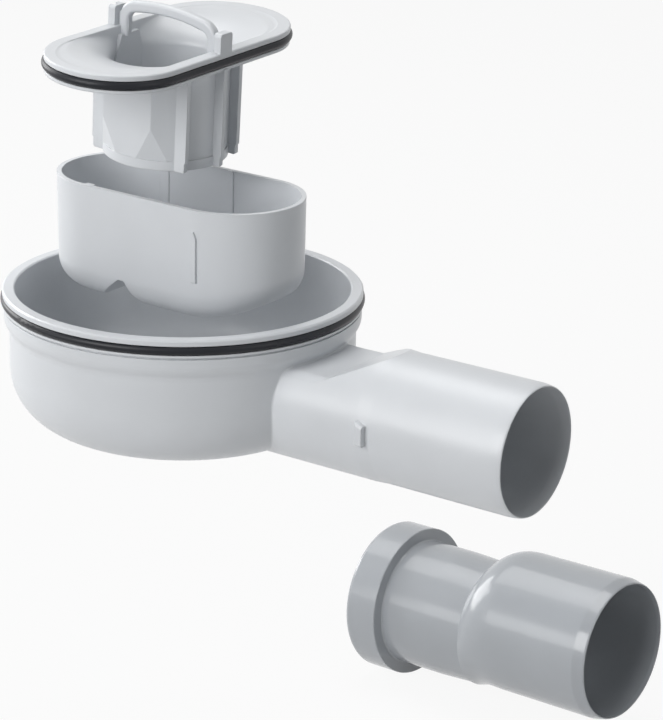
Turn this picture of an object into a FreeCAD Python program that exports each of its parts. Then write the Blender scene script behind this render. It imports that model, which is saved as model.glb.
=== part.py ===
"""Shower trap: bowl with outlet, siphon cup, dip tube insert and eccentric outlet adapter.

Millimetres, +Z up, +X along the outlet, origin at the centre of the bowl's top face.
The trap is shown taken apart. Each loose piece is drawn in its seated place and then
moved by its own shown values; with those at zero the pieces seat inside each other.
"""
import FreeCAD
import Part
import math
import os

V = FreeCAD.Vector
UP = V(0, 0, 1)
ALONG = V(1, 0, 0)
ACROSS = V(0, 1, 0)

# bowl
BOWL_OUT_R = 54.05
BOWL_WALL = 1.85
BOWL_IN_R = BOWL_OUT_R - BOWL_WALL
RIM_R = BOWL_OUT_R + 2.0
RIM_EDGE = 0.5
FLOOR_OUT_Z = -43.8
FLOOR_WALL = 2.0
CORNER_R = 18.7
FLANGE_TOP = -1.85
SEAL_WIDTH = 2.9
SEAL_FLOOR_R = BOWL_IN_R + 1.6
LIP_R = RIM_R - 0.15
LIP_LOW = -5.5
LINE_LOW = -6.1
LINE_R = RIM_R - 0.95
BAND_R = RIM_R - 0.35
BAND_LOW = -8.6
EASE_LOW = -13.6
ROOT_FILLET = 0.6
CORD = 2.8

# outlet pipe, DN 40 spigot
PIPE_R = 20.0
PIPE_WALL = 1.8
ROOT_R = 20.3
PIPE_Z = FLOOR_OUT_Z + 18.8
PIPE_L = 95.7
PIPE_START = BOWL_OUT_R - 20.05
PIPE_END = PIPE_START + PIPE_L
SPIGOT_L = 45.1
ROOF_Z = PIPE_Z + 12.6
RAMP_FROM = BOWL_OUT_R + 12.45
RAMP_TO = RAMP_FROM + 17.0
ROOF_WALL = 2.0
ROOF_EDGE = 4.2
SPIGOT_EASE = 3.6
MOUTH_R = PIPE_R - 0.75
NIB_X = RAMP_TO - 1.3
NIB_Z = PIPE_Z + 0.4

# siphon cup
CUP_R = 21.4
CUP_R_LOW = CUP_R - 0.3
CUP_HALF = BOWL_IN_R - CUP_R - 9.15
CUP_H = 36.2
CUP_WALL = 1.55
CUP_CORNER = 9.4
RISE_FROM = 14.0
RISE_R = 50.0
STEP_FROM = -18.2
STEP_TO = 0.6
STEP_H = 8.4
STEP_TOP_FROM = -7.4

# dip tube insert
PLATE_R = 21.8
PLATE_HALF = 24.3
PLATE_LIP = 1.6
PLATE_GROOVE = 2.9
PLATE_H = 5.5
PLATE_SKIN = 2.0
GROOVE_R = PLATE_R - 2.1
HUB_Y = -0.5
TUBE_R = CUP_R - CUP_WALL - 1.15
BORE_R = TUBE_R - 1.1
TUBE_H = 35.9
TUBE_BAND_R = TUBE_R + 0.4
BAND_H = 3.0
FLAT_HALF = TUBE_R + 0.3
CREASE_HALF = 9.25
CHAMFER_H = 10.4
DISH_R = PLATE_R - 3.8
DISH_DEPTH = 8.0
RUN = 0.2
GUIDE_R = TUBE_R + 3.35
GUIDE_T = 1.5
GUIDE_SPACING = 12.4
BAIL_Y = HUB_Y
BAIL_H = 9.7

# adapter, DN 40 socket with lip seal to DN 50 spigot
BARREL_R = 24.95
BARREL_IN_R = 23.25
NECK_R = 22.64
NECK_BORE_R = 20.25
NECK_DROP = 4.2
COLLAR_R = 26.9
ADAPTER_L = 100.8
BARREL_L = 41.0
STEP_L = 13.2
COLLAR_L = 13.0
POCKET_R = 24.4
POCKET_L = 7.8
MOUTH_L = 2.4
MOUTH_EASE = 4.4

# seated places and the places shown
SOCKET_DEPTH = 39.0
CUP_SEAT_Z = FLOOR_OUT_Z + FLOOR_WALL + CUP_H
INSERT_SEAT_Z = 4.9
ADAPTER_SEAT_X = PIPE_END + ADAPTER_L - SOCKET_DEPTH
CUP_AT_X = -0.9
CUP_AT_Y = -0.64
CUP_AT_Z = 32.8
CUP_SHOWN = V(CUP_AT_X, CUP_AT_Y, CUP_AT_Z - CUP_SEAT_Z)
CUP_TIP = 1.2
PLATE_AT_X = -3.29
PLATE_AT_Y = -2.33
PLATE_AT_Z = 77.9
INSERT_SHOWN = V(PLATE_AT_X, PLATE_AT_Y + HUB_Y, PLATE_AT_Z - INSERT_SEAT_Z)
INSERT_TIP = 5.1
INSERT_ROLL = 2.25
TIP_AXIS = V(0.8153, 0.579, 0)
ROLL_AXIS = V(-0.579, 0.8153, 0)
ADAPTER_AT_X = 98.9
ADAPTER_AT_Y = 116.7
ADAPTER_AT_Z = -139.9
ADAPTER_SHOWN = V(ADAPTER_AT_X, ADAPTER_AT_Y, ADAPTER_AT_Z)
ADAPTER_YAW = -3.9
ADAPTER_PITCH = -2.2


def revolve(points, axis=UP, centre=V(0, 0, 0)):
    """Solid of revolution about the Z axis from a closed (radius, z) outline."""
    outline = [V(r, 0, z) for r, z in points]
    outline.append(outline[0])
    face = Part.Face(Part.makePolygon(outline))
    return face.revolve(centre, axis, 360)


def obround(r, half, z):
    """Flat closed outline of two half circles joined by straight runs along X."""
    a, b, c = V(half, -r, z), V(half + r, 0, z), V(half, r, z)
    d, e, f = V(-half, r, z), V(-half - r, 0, z), V(-half, -r, z)
    edges = [
        Part.Arc(a, b, c).toShape(),
        Part.LineSegment(c, d).toShape(),
        Part.Arc(d, e, f).toShape(),
        Part.LineSegment(f, a).toShape(),
    ]
    return Part.Wire(edges)


def slab(r, half, z0, z1):
    """Upright obround prism between two heights."""
    return Part.Face(obround(r, half, z0)).extrude(V(0, 0, z1 - z0))


def quarter_turn(shape):
    """The same shape with its long axis across the outlet."""
    turned = shape.copy()
    turned.rotate(V(0, 0, 0), UP, 90)
    return turned


def side_profile(points, half_width):
    """Prism across the outlet from an outline of (x, z) points."""
    outline = [V(x, -half_width, z) for x, z in points]
    outline.append(outline[0])
    face = Part.Face(Part.makePolygon(outline))
    return face.extrude(V(0, 2 * half_width, 0))


def edges_where(shape, test):
    """Edges whose middle point passes a test."""
    picked = []
    for edge in shape.Edges:
        middle = edge.valueAt((edge.FirstParameter + edge.LastParameter) / 2)
        if test(middle, edge):
            picked.append(edge)
    return picked


def rounded(shape, radius, test):
    """Fillet the edges that pass a test."""
    return shape.makeFillet(radius, edges_where(shape, test))


def eased_step(wide_r, narrow_r, top, low):
    """Two arcs that run upright from one radius and upright into the other."""
    turn = 2 * math.atan2(wide_r - narrow_r, top - low)
    bend = (top - low) / 2 / math.sin(turn)
    half = turn / 2
    middle = V((wide_r + narrow_r) / 2, 0, (top + low) / 2)
    upper = V(wide_r - bend * (1 - math.cos(half)), 0, top - bend * math.sin(half))
    lower = V(narrow_r + bend * (1 - math.cos(half)), 0, low + bend * math.sin(half))
    return [Part.Arc(V(wide_r, 0, top), upper, middle).toShape(),
            Part.Arc(middle, lower, V(narrow_r, 0, low)).toShape()]


def bowl_outside():
    groove_low = FLANGE_TOP - SEAL_WIDTH
    corner_r = BOWL_OUT_R - CORNER_R
    outline = [(0, 0), (RIM_R - RIM_EDGE, 0), (RIM_R, -RIM_EDGE), (RIM_R, FLANGE_TOP)]
    outline += [(SEAL_FLOOR_R, FLANGE_TOP), (SEAL_FLOOR_R, groove_low)]
    outline += [(LIP_R, groove_low), (LIP_R, LIP_LOW), (LINE_R, LIP_LOW), (LINE_R, LINE_LOW)]
    outline += [(BAND_R, LINE_LOW), (BAND_R, BAND_LOW)]
    edges = []
    points = [V(r, 0, z) for r, z in outline]
    for a, b in zip(points, points[1:]):
        edges.append(Part.LineSegment(a, b).toShape())
    edges += eased_step(BAND_R, BOWL_OUT_R, BAND_LOW, EASE_LOW)
    start = V(BOWL_OUT_R, 0, FLOOR_OUT_Z + CORNER_R)
    edges.append(Part.LineSegment(V(BOWL_OUT_R, 0, EASE_LOW), start).toShape())
    turn = math.radians(45)
    middle = V(corner_r + CORNER_R * math.cos(turn), 0,
               FLOOR_OUT_Z + CORNER_R - CORNER_R * math.sin(turn))
    end = V(corner_r, 0, FLOOR_OUT_Z)
    edges.append(Part.Arc(start, middle, end).toShape())
    edges.append(Part.LineSegment(end, V(0, 0, FLOOR_OUT_Z)).toShape())
    edges.append(Part.LineSegment(V(0, 0, FLOOR_OUT_Z), V(0, 0, 0)).toShape())
    return Part.Face(Part.Wire(edges)).revolve(V(0, 0, 0), UP, 360)


def bowl_inside():
    floor = FLOOR_OUT_Z + FLOOR_WALL
    corner = CORNER_R - FLOOR_WALL
    corner_r = BOWL_IN_R - corner
    turn = math.radians(45)
    lead = 0.4
    start = V(BOWL_IN_R, 0, floor + corner)
    middle = V(corner_r + corner * math.cos(turn), 0, floor + corner - corner * math.sin(turn))
    end = V(corner_r, 0, floor)
    top = V(BOWL_IN_R + lead, 0, 0)
    above = V(BOWL_IN_R + lead, 0, 1)
    edges = [
        Part.LineSegment(V(0, 0, 1), above).toShape(),
        Part.LineSegment(above, top).toShape(),
        Part.LineSegment(top, V(BOWL_IN_R, 0, -lead)).toShape(),
        Part.LineSegment(V(BOWL_IN_R, 0, -lead), start).toShape(),
        Part.Arc(start, middle, end).toShape(),
        Part.LineSegment(end, V(0, 0, floor)).toShape(),
        Part.LineSegment(V(0, 0, floor), V(0, 0, 1)).toShape(),
    ]
    return Part.Face(Part.Wire(edges)).revolve(V(0, 0, 0), UP, 360)


def roof(drop):
    """Space above the lowered roof of the outlet's root, and its ramp."""
    low = ROOF_Z - drop
    top = PIPE_Z + ROOT_R - drop
    shift = drop * 0.3
    above = RIM_R
    points = [(0, low), (RAMP_FROM + shift, low), (RAMP_TO + shift, top), (RAMP_TO + shift, above), (0, above)]
    return side_profile(points, ROOT_R * 1.5)


def pipe_outside():
    """Root of the outlet, a short cone where the ramp ends, and the spigot with its eased end."""
    root_end = PIPE_END - SPIGOT_L - 4.6
    outline = [(PIPE_START, 0), (PIPE_START, ROOT_R), (root_end, ROOT_R), (PIPE_END - SPIGOT_L, PIPE_R)]
    for share, drop in ((1, 0), (0.67, 0.07), (0.33, 0.2), (0.11, 0.36), (0, 0.55)):
        outline.append((PIPE_END - share * SPIGOT_EASE, PIPE_R - drop))
    outline.append((PIPE_END, 0))
    pipe = round_x(outline)
    pipe.translate(V(0, 0, PIPE_Z))
    return pipe


def pipe_inside():
    """Bore of the outlet, drafted through the spigot and opened a little at its mouth."""
    narrow = PIPE_R - PIPE_WALL
    outline = [(PIPE_START + 3, 0), (PIPE_START + 3, narrow), (PIPE_END - SPIGOT_L, narrow),
               (PIPE_END - SPIGOT_EASE, MOUTH_R - 0.35), (PIPE_END, MOUTH_R), (PIPE_END + 1, MOUTH_R), (PIPE_END + 1, 0)]
    bore = round_x(outline)
    bore.translate(V(0, 0, PIPE_Z))
    return bore


def joins_wall(middle, edge):
    """Whether an edge is where the outlet's round side meets the bowl's upright wall."""
    ends = [vertex.Point for vertex in edge.Vertexes] + [middle]
    on_wall = all(abs(math.hypot(p.x, p.y) - BOWL_OUT_R) < 0.02 for p in ends)
    beside = all(5 < abs(p.y) < ROOT_R + 1 and p.x > 0 for p in ends)
    return on_wall and beside and len(ends) > 2 and abs(ends[0].z - ends[1].z) > 1


def trap_body():
    pipe = pipe_outside().cut(roof(0))
    pipe = rounded(pipe, ROOF_EDGE, lambda p, e: abs(p.z - ROOF_Z) < 0.01 and abs(p.y) > 10)
    below = FLOOR_OUT_Z - RIM_R
    toe = side_profile([(0, below), (PIPE_START + 9, below), (PIPE_START + 9, PIPE_Z - ROOT_R),
                        (PIPE_START, FLOOR_OUT_Z), (PIPE_START, RIM_R), (0, RIM_R)], ROOT_R * 1.5)
    pipe = pipe.cut(toe)
    bore = pipe_inside().cut(roof(ROOF_WALL))
    bore = rounded(bore, ROOF_EDGE - ROOF_WALL,
                   lambda p, e: abs(p.z - ROOF_Z + ROOF_WALL) < 0.01 and abs(p.y) > 8)
    nib = side_profile([(NIB_X - 1.4, NIB_Z - 3.6), (NIB_X + 1.4, NIB_Z - 3.6),
                        (NIB_X + 1.4, NIB_Z + 2.6), (NIB_X - 1.4, NIB_Z + 3.8)], ROOT_R + 1.7)
    nib = nib.common(Part.makeBox(10, ROOT_R + 1.7, 20, V(NIB_X - 5, -ROOT_R - 1.7, NIB_Z - 10)))
    nib = rounded(nib, 0.8, lambda p, e: p.y < -ROOT_R - 1.69 and p.x < NIB_X + 1)
    body = bowl_outside().fuse(pipe)
    body = rounded(body, ROOT_FILLET, joins_wall).fuse(nib)
    body = body.cut(bowl_inside().fuse(bore))
    return body.removeSplitter()


def cord_ring():
    """Round cord seated on the floor of the bowl's groove."""
    centre_z = FLANGE_TOP - SEAL_WIDTH / 2
    ring = Part.makeTorus(SEAL_FLOOR_R + CORD / 2 - 0.05, CORD / 2, V(0, 0, centre_z), UP)
    return ring.cut(Part.makeCylinder(SEAL_FLOOR_R, 10, V(0, 0, centre_z - 5)))


def cup_form(r, r_low, height, corner, rise_r, top):
    """Obround block whose floor rises in an arc towards the outlet end."""
    block = Part.makeLoft([obround(r_low, CUP_HALF, -height - 1), obround(r, CUP_HALF, top)], True, True)
    reach = 2 * (r + CUP_HALF)
    centre = V(RISE_FROM, 0, -height + rise_r)
    end_x = RISE_FROM + rise_r * 0.8
    end_z = -height + rise_r * 0.4
    mid = math.radians(27)
    mid_point = V(RISE_FROM + rise_r * math.sin(mid), 0, centre.z - rise_r * math.cos(mid))
    a = V(-reach, 0, -height)
    b = V(RISE_FROM, 0, -height)
    c = V(end_x, 0, end_z)
    d = V(end_x, 0, top + 1)
    e = V(-reach, 0, top + 1)
    outline = Part.Wire([
        Part.LineSegment(a, b).toShape(),
        Part.Arc(b, mid_point, c).toShape(),
        Part.LineSegment(c, d).toShape(),
        Part.LineSegment(d, e).toShape(),
        Part.LineSegment(e, a).toShape(),
    ])
    side = Part.Face(outline).extrude(V(0, 3 * r, 0))
    side.translate(V(0, -1.5 * r, 0))
    block = block.common(side)
    return rounded(block, corner, lambda p, e: p.z < -height * 0.5 and abs(p.x - RISE_FROM) > 0.01
                   and not is_upright(e))


def is_upright(edge):
    a = edge.Vertexes[0].Point
    b = edge.Vertexes[-1].Point
    return abs(a.z - b.z) > 10 and abs(a.x - b.x) < 2


def groove_face(z0):
    """Outline of the groove across the underside of the cup."""
    high = z0 + STEP_H
    points = [(STEP_FROM, z0 - 4), (STEP_FROM, z0), (STEP_TOP_FROM, high), (STEP_TOP_FROM + 2.4, high),
              (STEP_TO - 3.6, z0 + STEP_H / 2), (STEP_TO, z0), (STEP_TO, z0 - 4)]
    outline = [V(x, -1.5 * CUP_R, z) for x, z in points]
    outline.append(outline[0])
    return Part.Face(Part.makePolygon(outline))


def siphon_cup():
    outer = cup_form(CUP_R, CUP_R_LOW, CUP_H, CUP_CORNER, RISE_R, 0)
    inner = cup_form(CUP_R - CUP_WALL, CUP_R_LOW - CUP_WALL, CUP_H - CUP_WALL, CUP_CORNER - CUP_WALL,
                     RISE_R - CUP_WALL, 1)
    groove = groove_face(-CUP_H)
    ridge = groove.makeOffset2D(CUP_WALL, 0, False, False, False)
    groove = groove.extrude(V(0, 3 * CUP_R, 0))
    groove = rounded(groove, 1.1, lambda p, e: abs(p.y) < 1 and p.z > -CUP_H + 0.95 * STEP_H)
    ridge = ridge.extrude(V(0, 3 * CUP_R, 0))
    cup = outer.cut(inner.cut(ridge)).cut(groove)
    wall_in = CUP_R - CUP_WALL
    ribs = [
        (-CUP_HALF - 2.25, 3.6, 0.4, 1),
        (3.6, 2.0, 0.55, 1),
        (-CUP_HALF + 0.55, 3.2, 1.3, -1),
        (4.0, 5.0, 0.4, -1),
    ]
    for x, width, depth, side in ribs:
        rib = Part.makeBox(width, depth + CUP_WALL / 2, 0.83 * CUP_H, V(x, wall_in - depth, -0.83 * CUP_H))
        if side < 0:
            rib.rotate(V(0, 0, 0), UP, 180)
            rib.translate(V(2 * x + width, 0, 0))
        cup = cup.fuse(rib.common(outer))
    mark_outline = [(-0.9, -22.4), (0.9, -22.4), (0.9, -8.6), (0, -6.6), (-0.9, -8.6), (-0.9, -22.4)]
    mark = [V(CUP_HALF + 0.85 + x, -CUP_R - 0.5, z) for x, z in mark_outline]
    mark = Part.Face(Part.makePolygon(mark)).extrude(V(0, 1.4, 0))
    cup = cup.fuse(mark)
    return cup.removeSplitter()


def dish_form(r_low, r_high, high):
    """Obround form whose length grows along a quarter ellipse up to the height given."""
    sections = []
    steps = 9
    for i in range(steps + 1):
        turn = math.radians(90.0 * i / steps)
        share = 1 - math.cos(turn)
        z = high - DISH_DEPTH * (1 - math.sin(turn))
        sections.append(obround(r_low + (r_high - r_low) * share, (PLATE_HALF - RUN) * share + RUN, z))
    dish = quarter_turn(Part.makeLoft(sections, True, False))
    dish.translate(V(0, HUB_Y, 0))
    return dish


def tube_outside():
    """Tube with a round band at its mouth and, across the plate's length, flats with cut corners."""
    low = -TUBE_H + BAND_H
    tube = quarter_turn(slab(TUBE_R, RUN, low, -DISH_DEPTH))
    tube = tube.fuse(quarter_turn(slab(TUBE_BAND_R, RUN, -TUBE_H, low)))
    crease = math.hypot(CREASE_HALF, FLAT_HALF)
    root = math.sqrt(TUBE_R ** 2 - GUIDE_SPACING ** 2) + 0.9
    for side in (1, -1):
        outline = [(0, 0), (-root, GUIDE_SPACING - 0.4), (-CREASE_HALF, FLAT_HALF), (CREASE_HALF, FLAT_HALF),
                   (root, GUIDE_SPACING - 0.4), (0, 0)]
        points = [V(x, side * y, low) for x, y in outline]
        prism = Part.Face(Part.makePolygon(points)).extrude(V(0, 0, -low - PLATE_SKIN - 0.3))
        for end in (-1, 1):
            out = V(end * CREASE_HALF / crease, side * FLAT_HALF / crease, 0)
            wide = V(-out.y, out.x, 0) * 8
            foot = out * (TUBE_R + 0.1) + V(0, 0, low - 0.01)
            head = out * (crease + 0.01) + V(0, 0, low + CHAMFER_H)
            far = out * (crease + 4)
            wedge = [foot - wide, head - wide, far - wide + V(0, 0, low + CHAMFER_H),
                     far - wide + V(0, 0, low - 0.01), foot - wide]
            prism = prism.cut(Part.Face(Part.makePolygon(wedge)).extrude(wide * 2))
        tube = tube.fuse(prism)
    return tube


def bail():
    """Lifting handle: two legs with a low flat arch between them."""
    width = 3.0
    leg_out, leg_in = PLATE_R - 3.1, PLATE_R - 6.4
    foot_z = -3.0
    top_z, crown = BAIL_H, 2.4
    under_z, under_crown = BAIL_H - 3.4, 2.0
    corner = 1.0
    low = V(-leg_out, 0, foot_z)
    side = V(-leg_out, 0, top_z - crown)
    inner_side = V(-leg_in, 0, under_z - under_crown)
    inner_low = V(-leg_in, 0, foot_z)
    mirror = [V(-p.x, 0, p.z) for p in (low, side, inner_side, inner_low)]
    outline = Part.Wire([
        Part.LineSegment(low, side).toShape(),
        Part.Arc(side, V(0, 0, top_z), mirror[1]).toShape(),
        Part.LineSegment(mirror[1], mirror[0]).toShape(),
        Part.LineSegment(mirror[0], mirror[3]).toShape(),
        Part.LineSegment(mirror[3], mirror[2]).toShape(),
        Part.Arc(mirror[2], V(0, 0, under_z), inner_side).toShape(),
        Part.LineSegment(inner_side, inner_low).toShape(),
        Part.LineSegment(inner_low, low).toShape(),
    ])
    bow = Part.Face(outline).extrude(V(0, width, 0))
    bow = rounded(bow, 6.0, lambda p, e: abs(abs(p.x) - leg_out) < 0.01 and abs(p.z - side.z) < 0.01)
    bow = rounded(bow, 3.2, lambda p, e: abs(abs(p.x) - leg_in) < 0.01 and abs(p.z - inner_side.z) < 0.01)
    bow = rounded(bow, corner, lambda p, e: p.z > foot_z + 0.1 and e.Length > 3.05)
    bow.translate(V(0, BAIL_Y - width / 2, 0))
    return bow


def lugs():
    """Upright lugs at the plate's long sides, each tied to its leg by a web."""
    width = 5.5
    thick = 2.6
    top = 6.0
    foot = -1.3
    pieces = []
    for side in (1, -1):
        block = Part.makeBox(thick, width, top - foot, V(PLATE_R - thick, BAIL_Y - width / 2, foot))
        block = rounded(block, 1.0, lambda p, e: p.z > top - 0.01 and abs(abs(p.y - BAIL_Y) - width / 2) < 0.01)
        web = Part.makeBox(5, 1.6, 4.2 - foot, V(PLATE_R - thick - 4, BAIL_Y - 0.8, foot))
        piece = block.fuse(web)
        if side < 0:
            piece.rotate(V(0, BAIL_Y, 0), UP, 180)
            slot = Part.makeBox(1.4, 2.2, 6, V(-PLATE_R - 0.01, BAIL_Y - 1.6, 1.0))
            piece = piece.cut(slot)
        pieces.append(piece)
    return pieces


def guide_ribs():
    """Flat plates out from the tube's round sides, stepped in near their lower ends."""
    inside = quarter_turn(slab(GROOVE_R - 0.9, PLATE_HALF, -2 * TUBE_H, -PLATE_SKIN - 0.6))
    below = Part.makeBox(4 * GUIDE_R, 4 * GUIDE_R, 2 * TUBE_H, V(-2 * GUIDE_R, -2 * GUIDE_R, -2 * TUBE_H - PLATE_H + 0.5))
    keep = inside.fuse(below)
    ribs = []
    for side in (1, -1):
        for y in (-GUIDE_SPACING, 0, GUIDE_SPACING):
            root = math.sqrt(TUBE_R ** 2 - y ** 2) - 0.7
            end = math.sqrt(GUIDE_R ** 2 - y ** 2)
            points = [(root, 0), (end, 0), (end, 3.4 - TUBE_H), (end - 0.4, 3.1 - TUBE_H),
                      (end - 0.4, 0.5 - TUBE_H), (end - 0.9, -TUBE_H), (root, -TUBE_H), (root, 0)]
            outline = [V(side * x, y - GUIDE_T / 2, z) for x, z in points]
            rib = Part.Face(Part.makePolygon(outline)).extrude(V(0, GUIDE_T, 0))
            ribs.append(rib.translated(V(0, HUB_Y, 0)).common(keep))
    return ribs


def dip_tube_insert():
    groove_low = -PLATE_LIP - PLATE_GROOVE
    plate = slab(PLATE_R, PLATE_HALF, -PLATE_LIP, 0)
    plate = rounded(plate, 0.5, lambda p, e: p.z > -0.01)
    plate = plate.fuse([slab(GROOVE_R, PLATE_HALF, groove_low, -PLATE_LIP),
                        slab(PLATE_R - 0.1, PLATE_HALF, -PLATE_H, groove_low)])
    plate = plate.cut(slab(GROOVE_R - 1.8, PLATE_HALF, -PLATE_H - 1, -PLATE_SKIN))
    plate = quarter_turn(plate)
    hub = tube_outside()
    hub.translate(V(0, HUB_Y, 0))
    under_dish = dish_form(TUBE_R, GROOVE_R - 1.0, -PLATE_SKIN)
    body = plate.fuse([hub, under_dish] + guide_ribs())
    bore = quarter_turn(slab(BORE_R, RUN, -TUBE_H - 5, -DISH_DEPTH))
    bore.translate(V(0, HUB_Y, 0))
    body = body.cut(bore).cut(dish_form(BORE_R, DISH_R, 0))
    body = body.fuse([bail()] + lugs() + [foot_pad()])
    return body.removeSplitter()


def foot_pad():
    """Tapered pad on the bore's far wall under the handle's foot."""
    x0 = -BORE_R - 0.6
    points = [V(x0, -3.2, -2.4), V(x0, 5.0, -2.4), V(x0, 9.0, -16), V(x0, 9.0, -28), V(x0, -8.0, -28), V(x0, -8.0, -16)]
    points.append(points[0])
    pad = Part.Face(Part.makePolygon(points)).extrude(V(2.0, 0, 0))
    ring = Part.makeCylinder(BORE_R + 0.7, 2 * TUBE_H, V(0, HUB_Y, -1.5 * TUBE_H))
    return pad.common(ring)


def plate_ring():
    """Cord seated round the plate's groove: two half rings joined by straight runs."""
    centre_z = -PLATE_LIP - PLATE_GROOVE / 2
    r = GROOVE_R + CORD / 2 - 0.02
    pieces = []
    for side in (1, -1):
        centre = V(side * PLATE_HALF, 0, 0)
        section = Part.Face(Part.Wire(Part.makeCircle(CORD / 2, centre + V(0, -side * r, centre_z), ALONG)))
        pieces.append(section.revolve(centre, UP, 180))
        run = V(-PLATE_HALF, side * r, centre_z)
        pieces.append(Part.makeCylinder(CORD / 2, 2 * PLATE_HALF, run, ALONG))
    ring = pieces[0].fuse(pieces[1:])
    return quarter_turn(ring.cut(slab(GROOVE_R + 0.02, PLATE_HALF, -20, 20)).removeSplitter())


def round_x(points):
    """Solid of revolution about the X axis from (x, radius) points; a third value rounds to it."""
    outline = [V(x, 0, r) for x, r in points]
    outline.append(outline[0])
    return Part.Face(Part.makePolygon(outline)).revolve(V(0, 0, 0), ALONG, 360)


def circle_x(x, r, z):
    return Part.Wire(Part.makeCircle(r, V(x, 0, z), ALONG))


def step_loft(from_x, to_x, radii):
    """Swept step between the two axes, its centre dropping along a curve."""
    drops = (0, 0.02, 0.14, 0.45, 1)
    sections = []
    for i, drop in enumerate(drops):
        sections.append(circle_x(from_x + (to_x - from_x) * i / 4, radii[i], -drop * NECK_DROP))
    return Part.makeLoft(sections, True, False)


def outlet_adapter():
    """Reducer: barrel and neck on two parallel axes, with a swept step between them."""
    shoulder = -BARREL_L
    waist = shoulder - STEP_L
    waist_r = NECK_R - 0.65
    collar = COLLAR_L - ADAPTER_L
    pocket_to = MOUTH_L - ADAPTER_L
    pocket_from = pocket_to + POCKET_L
    barrel = round_x([(shoulder, 0), (shoulder, BARREL_R), (-MOUTH_EASE, BARREL_R), (0.8 - MOUTH_EASE, BARREL_R - 0.12),
                      (-0.5, BARREL_R - 0.9), (0, BARREL_R - 1.2), (0, 0)])
    ring_r = waist_r + 0.3
    step = step_loft(shoulder, waist, (BARREL_R, BARREL_R - 0.2, BARREL_R - 0.65, BARREL_R - 1.4, ring_r))
    neck = round_x([(waist, 0), (waist, waist_r), (waist - 15.5, NECK_R),
                    (collar + 0.7, NECK_R), (collar + 0.15, NECK_R + 0.35), (collar, COLLAR_R - 0.25),
                    (collar - 0.25, COLLAR_R), (1.2 - ADAPTER_L, COLLAR_R), (0.3 - ADAPTER_L, COLLAR_R - 0.4),
                    (-ADAPTER_L, COLLAR_R - 1.2), (-ADAPTER_L, 0)])
    neck.translate(V(0, 0, -NECK_DROP))
    body = barrel.fuse([step, neck])
    in_shoulder = shoulder - 1.0
    in_waist = waist + 0.5
    bore = round_x([(in_shoulder, 0), (in_shoulder, BARREL_IN_R), (-1.4, BARREL_IN_R), (0, BARREL_IN_R + 0.3),
                    (1, BARREL_IN_R + 0.3), (1, 0)])
    inner_step = step_loft(in_shoulder, in_waist, (BARREL_IN_R, BARREL_IN_R - 0.25, BARREL_IN_R - 0.8,
                                                   BARREL_IN_R - 1.65, NECK_BORE_R))
    neck_bore = round_x([(in_waist, 0), (in_waist, NECK_BORE_R), (pocket_from, NECK_BORE_R),
                         (pocket_from, POCKET_R), (pocket_to, POCKET_R), (pocket_to, NECK_BORE_R + 2.15),
                         (1.2 - ADAPTER_L, NECK_BORE_R + 2.15), (-1 - ADAPTER_L, NECK_BORE_R + 3.35),
                         (-1 - ADAPTER_L, 0)])
    neck_bore.translate(V(0, 0, -NECK_DROP))
    return body.cut(bore.fuse([inner_step, neck_bore])).removeSplitter()


def lip_seal():
    """Rubber ring in the collar with a lip that leans on the spigot."""
    back = MOUTH_L - ADAPTER_L
    front = back + POCKET_L - 0.2
    bed = POCKET_R - 1.8
    lip = NECK_BORE_R - 0.15
    ring = round_x([(front, POCKET_R), (front, bed), (front - 1.6, lip), (front - 2.2, lip), (front - 2.2, lip + 0.8),
                    (front - 3.2, bed), (back + 1.4, bed), (back + 0.8, bed - 1.0), (back, bed - 1.0),
                    (back, POCKET_R)])
    ring.translate(V(0, 0, -NECK_DROP))
    return ring


def place_cup(shape):
    shape.rotate(V(0, 0, 0), TIP_AXIS, CUP_TIP)
    shape.translate(V(0, 0, CUP_SEAT_Z) + CUP_SHOWN)
    return shape


def place_insert(shape):
    shape.rotate(V(0, 0, 0), TIP_AXIS, INSERT_TIP)
    shape.rotate(V(0, 0, 0), ROLL_AXIS, INSERT_ROLL)
    shape.translate(V(0, -HUB_Y, INSERT_SEAT_Z) + INSERT_SHOWN)
    return shape


def place_adapter(shape):
    shape.rotate(V(0, 0, 0), ACROSS, ADAPTER_PITCH)
    shape.rotate(V(0, 0, 0), UP, ADAPTER_YAW)
    shape.translate(ADAPTER_SHOWN)
    return shape


def build():
    parts = {
        "trap_body": trap_body(),
        "body_seal_ring": cord_ring(),
        "siphon_cup": place_cup(siphon_cup()),
        "dip_tube_insert": place_insert(dip_tube_insert()),
        "insert_seal_ring": place_insert(plate_ring()),
        "outlet_adapter": place_adapter(outlet_adapter()),
        "adapter_lip_seal": place_adapter(lip_seal()),
    }
    os.makedirs("parts", exist_ok=True)
    for name, shape in parts.items():
        print(name, shape.ShapeType, shape.isValid(), len(shape.Solids), round(shape.Volume))
        shape.exportStep("parts/" + name + ".step")


build()
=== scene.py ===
import math

import bpy
from mathutils import Matrix, Vector


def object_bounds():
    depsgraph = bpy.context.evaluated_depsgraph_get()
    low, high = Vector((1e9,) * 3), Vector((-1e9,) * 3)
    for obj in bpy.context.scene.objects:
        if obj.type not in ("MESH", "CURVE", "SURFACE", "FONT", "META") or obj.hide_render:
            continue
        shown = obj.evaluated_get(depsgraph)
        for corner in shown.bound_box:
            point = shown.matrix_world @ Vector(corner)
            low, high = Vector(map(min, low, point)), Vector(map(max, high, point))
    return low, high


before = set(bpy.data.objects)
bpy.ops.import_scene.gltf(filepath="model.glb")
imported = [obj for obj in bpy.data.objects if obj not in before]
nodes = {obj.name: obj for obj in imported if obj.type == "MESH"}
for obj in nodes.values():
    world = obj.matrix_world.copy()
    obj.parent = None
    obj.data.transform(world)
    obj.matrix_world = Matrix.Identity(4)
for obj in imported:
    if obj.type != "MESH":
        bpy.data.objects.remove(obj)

cad_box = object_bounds()

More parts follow.
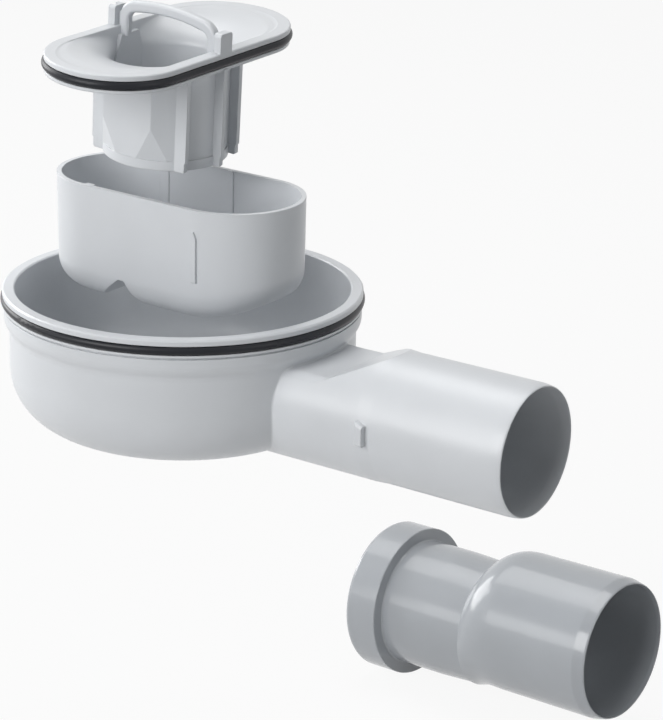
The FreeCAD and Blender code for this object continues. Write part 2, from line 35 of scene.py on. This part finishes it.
# Camera of the photograph, fitted to the rims, the outlet and the plate. Lengths in metres.
IMAGE_W = 663
FOCAL_PX = 2600.0
SENSOR_MM = 36.0
CLIP_NEAR, CLIP_FAR = 0.01, 40
TURN = math.radians(35.38)
DOWN = math.radians(18.826)
ROLL = math.radians(1.182)
SHIFT_RIGHT, SHIFT_UP, STAND_OFF = -0.04603, 0.0236, 0.8083

# Directions as the photograph shows them: to its right, and towards the camera, both level.
RIGHT = Vector((math.cos(TURN), math.sin(TURN), 0))
NEAR = Vector((math.sin(TURN), -math.cos(TURN), 0))
UP = Vector((0, 0, 1))

# The middle of the trap, which the lamps face.
MIDDLE = Vector((0.03, 0.03, -0.04))

FLOOR_SIZE = 12.0
FLOOR_GAP = 0.0002
FLOOR_COLOR = (0.55, 0.55, 0.55)
FLOOR_ROUGHNESS = 0.9
FLOOR_WHITE = 0.92

WHITE = (1.0, 1.0, 1.0)
AMBIENT = 0.03
AMBIENT_COLOR = (0.93, 0.97, 1.0)

# name, place (right, near, up) from the middle, width and height, watts, colour
LAMPS = (
    ("front_left", (-1.0, 1.0, 0.6), (0.9, 0.9), 15.5, WHITE),
    ("back_left", (-1.2, -0.8, 0.5), (0.9, 0.9), 14.0, WHITE),
    ("ceiling", (0.0, -0.25, 1.45), (1.1, 1.0), 13.0, WHITE),
    ("front_right", (1.2, 0.9, 0.4), (0.9, 0.9), 3.6, (0.97, 0.99, 1.0)),
)

# Softboxes seen only as a sheen along the pipes, in the same form as the lamps.
SHEENS = (
    ("left_sheen", (-1.28, 0.5, 0.28), (0.5, 0.45), 1.8, WHITE),
    ("top_sheen", (-0.5, -0.7, 1.2), (0.9, 0.5), 3.0, WHITE),
)

# Cells of the slow noise per metre, the part of its range that the tone covers, the part
# that the gloss covers, and how far the gloss strays from its middle value.
DRIFT_SCALE, DRIFT_DETAIL = 55, 3
TONE_RANGE = (0.35, 0.65)
GLOSS_RANGE = (0.3, 0.7)
GLOSS_DRIFT = 0.08
GRAIN_DETAIL = 2
EDGE_SAMPLES = 4

# Each finish: its name, the pieces that have it, and its look. Edge is the radius of the
# softened edges, grain_size and grain_depth belong to the fine grain, and drift is in tone.
FINISHES = (
    ("satin_grey_plastic", ("trap_body", "siphon_cup", "dip_tube_insert"), dict(
        color=(0.64, 0.66, 0.685), roughness=0.32, specular=0.5, edge=0.0004,
        grain_size=0.0006, grain_depth=0.000012, drift=0.012)),
    ("gloss_grey_plastic", ("outlet_adapter",), dict(
        color=(0.395, 0.415, 0.44), roughness=0.15, specular=0.5, edge=0.0004,
        grain_size=0.0011, grain_depth=0.000008, drift=0.015)),
    ("satin_black_rubber", ("body_seal_ring", "insert_seal_ring", "adapter_lip_seal"), dict(
        color=(0.009, 0.010, 0.014), roughness=0.36, specular=0.25, edge=0.0002,
        grain_size=0.0005, grain_depth=0.00002, drift=0.12)),
)


def place_camera():
    """Camera whose right, up and view axes come from the fitted turn, tilt and roll."""
    view = -NEAR * math.cos(DOWN) - UP * math.sin(DOWN)
    level_up = RIGHT.cross(view)
    right = RIGHT * math.cos(ROLL) + level_up * math.sin(ROLL)
    up = level_up * math.cos(ROLL) - RIGHT * math.sin(ROLL)
    spot = -(right * SHIFT_RIGHT + up * SHIFT_UP + view * STAND_OFF)
    data = bpy.data.cameras.new("photo_camera")
    data.sensor_fit = "HORIZONTAL"
    data.sensor_width = SENSOR_MM
    data.lens = FOCAL_PX * SENSOR_MM / IMAGE_W
    data.clip_start = CLIP_NEAR
    data.clip_end = CLIP_FAR
    camera = bpy.data.objects.new("photo_camera", data)
    camera.matrix_world = Matrix((
        (right.x, up.x, -view.x, spot.x),
        (right.y, up.y, -view.y, spot.y),
        (right.z, up.z, -view.z, spot.z),
        (0, 0, 0, 1)))
    bpy.context.scene.collection.objects.link(camera)
    bpy.context.scene.camera = camera


def link(tree, source, output, target, socket):
    """Join one node's output to another's input."""
    tree.links.new(source.outputs[output], target.inputs[socket])


def set_inputs(target, values):
    """Set a node's inputs by name or number."""
    for socket, value in values.items():
        target.inputs[socket].default_value = value


def node(tree, kind, values=(), **settings):
    """A shader node with some of its inputs and properties set."""
    made = tree.nodes.new("ShaderNode" + kind)
    for key, value in settings.items():
        setattr(made, key, value)
    set_inputs(made, dict(values))
    return made


def mix(tree, share, first, second, output):
    """Blend two shaders by a share, 0 for the first and 1 for the second, into the output."""
    blend = node(tree, "MixShader")
    link(tree, share, 0, blend, 0)
    link(tree, first, 0, blend, 1)
    link(tree, second, 0, blend, 2)
    link(tree, blend, 0, tree.nodes[output], "Surface")


def unlit_ray(tree):
    """1 for rays that should see plain white: from the camera, off gloss and through clear things."""
    path = node(tree, "LightPath")
    first = node(tree, "Math", operation="MAXIMUM")
    link(tree, path, "Is Camera Ray", first, 0)
    link(tree, path, "Is Glossy Ray", first, 1)
    both = node(tree, "Math", operation="MAXIMUM")
    link(tree, first, 0, both, 0)
    link(tree, path, "Is Transmission Ray", both, 1)
    return both


def white_room():
    """World that is white to look at and lights the object as an even, slightly cool room."""
    world = bpy.data.worlds.new("white_room")
    world.use_nodes = True
    bpy.context.scene.world = world
    tree = world.node_tree
    back = tree.nodes["Background"]
    set_inputs(back, {"Color": (*WHITE, 1)})
    room = node(tree, "Background", {"Color": (*AMBIENT_COLOR, 1), "Strength": AMBIENT})
    mix(tree, unlit_ray(tree), room, back, "World Output")


def lamp(name, place, size, watts, color):
    """Rectangular softbox that faces the middle of the trap."""
    data = bpy.data.lights.new(name, "AREA")
    data.shape = "RECTANGLE"
    data.size, data.size_y = size
    data.energy = watts
    data.color = color
    right, near, up = place
    spot = MIDDLE + RIGHT * right + NEAR * near + UP * up
    made = bpy.data.objects.new(name, data)
    made.location = spot
    made.rotation_euler = (MIDDLE - spot).to_track_quat("-Z", "Y").to_euler()
    bpy.context.scene.collection.objects.link(made)
    return made


def floor():
    """Plain pale floor just under the lowest piece; white to look at, a little darker in shadow."""
    half = FLOOR_SIZE / 2
    low = cad_box[0][2] - FLOOR_GAP
    mesh = bpy.data.meshes.new("floor")
    corners = [(-half, -half, low), (half, -half, low), (half, half, low), (-half, half, low)]
    mesh.from_pydata(corners, [], [(0, 1, 2, 3)])
    made = bpy.data.objects.new("floor", mesh)
    bpy.context.scene.collection.objects.link(made)
    pale = bpy.data.materials.new("pale_floor")
    pale.use_nodes = True
    tree = pale.node_tree
    matt = tree.nodes["Principled BSDF"]
    set_inputs(matt, {"Base Color": (*FLOOR_COLOR, 1), "Roughness": FLOOR_ROUGHNESS,
                      "Specular IOR Level": 0.0})
    glow = node(tree, "Emission", {"Color": (*WHITE, 1)})
    share = node(tree, "Math", {1: FLOOR_WHITE}, operation="MULTIPLY")
    link(tree, unlit_ray(tree), 0, share, 0)
    mix(tree, share, matt, glow, "Material Output")
    mesh.materials.append(pale)


def moulded(name, color, roughness, specular, edge, grain_size, grain_depth, drift):
    """Moulded plastic or rubber: fine grain, a slow drift in tone and gloss, and softened edges."""
    made = bpy.data.materials.new(name)
    made.use_nodes = True
    tree = made.node_tree
    shader = tree.nodes["Principled BSDF"]
    set_inputs(shader, {"Specular IOR Level": specular})
    place = node(tree, "TexCoord")

    slow = node(tree, "TexNoise", {"Scale": DRIFT_SCALE, "Detail": DRIFT_DETAIL})
    link(tree, place, "Object", slow, "Vector")
    tone = node(tree, "ValToRGB")
    dark = [channel * (1 - drift) for channel in color]
    light = [channel * (1 + drift) for channel in color]
    for stop, position, shade in zip(tone.color_ramp.elements, TONE_RANGE, (dark, light)):
        stop.position = position
        stop.color = (*shade, 1)
    link(tree, slow, 0, tone, 0)
    link(tree, tone, 0, shader, "Base Color")

    gloss = node(tree, "MapRange", {
        "From Min": GLOSS_RANGE[0], "From Max": GLOSS_RANGE[1],
        "To Min": roughness * (1 - GLOSS_DRIFT), "To Max": roughness * (1 + GLOSS_DRIFT)})
    link(tree, slow, 0, gloss, "Value")
    link(tree, gloss, 0, shader, "Roughness")

    grain = node(tree, "TexNoise", {"Scale": 1 / grain_size, "Detail": GRAIN_DETAIL})
    link(tree, place, "Object", grain, "Vector")
    soft = node(tree, "Bevel", {"Radius": edge}, samples=EDGE_SAMPLES)
    bump = node(tree, "Bump", {"Distance": grain_depth})
    link(tree, grain, 0, bump, "Height")
    link(tree, soft, 0, bump, "Normal")
    link(tree, bump, 0, shader, "Normal")
    return made


def dress():
    """Give every piece its finish."""
    for name, pieces, look in FINISHES:
        made = moulded(name, **look)
        for piece in pieces:
            for slot in nodes[piece].material_slots:
                slot.material = made


place_camera()
white_room()
for entry in LAMPS:
    lamp(*entry)
for entry in SHEENS:
    lamp(*entry).visible_diffuse = False
floor()
dress()

bpy.context.scene.view_settings.view_transform = "Standard"
